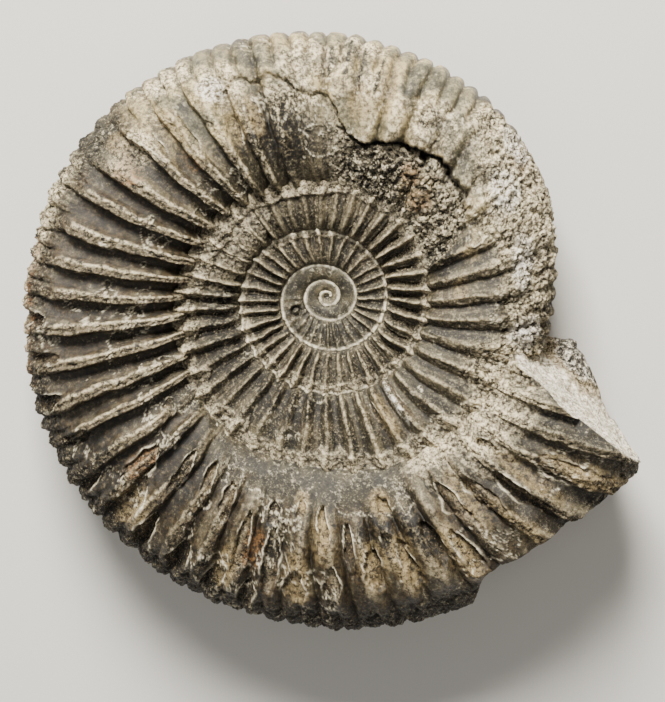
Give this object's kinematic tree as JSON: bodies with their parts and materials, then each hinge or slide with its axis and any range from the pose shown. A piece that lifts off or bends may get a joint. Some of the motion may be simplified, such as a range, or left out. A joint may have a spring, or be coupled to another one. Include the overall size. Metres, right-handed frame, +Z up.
{
  "type": "dactylioceras ammonite fossil",
  "caption": "Fossil ammonite: a flat, open coil of ribbed whorls turned to grey-brown stone, its ribs forking over the rim, broken off at the wide end and lying on its side.",
  "frame": {"origin": "middle of the fossil's box, on the surface that it lies on", "axes": "+Z up, out of the better side; +X towards the broken end, which is the long way; seen from above, the coil grows anticlockwise"},
  "size_m": [0.0898, 0.0868, 0.026],
  "materials": {
    "fossil_shell": "rough with polished rib tops"
  },
  "bodies": {
    "root": {"ammonite": "fossil_shell"}
  },
  "joints": []
}
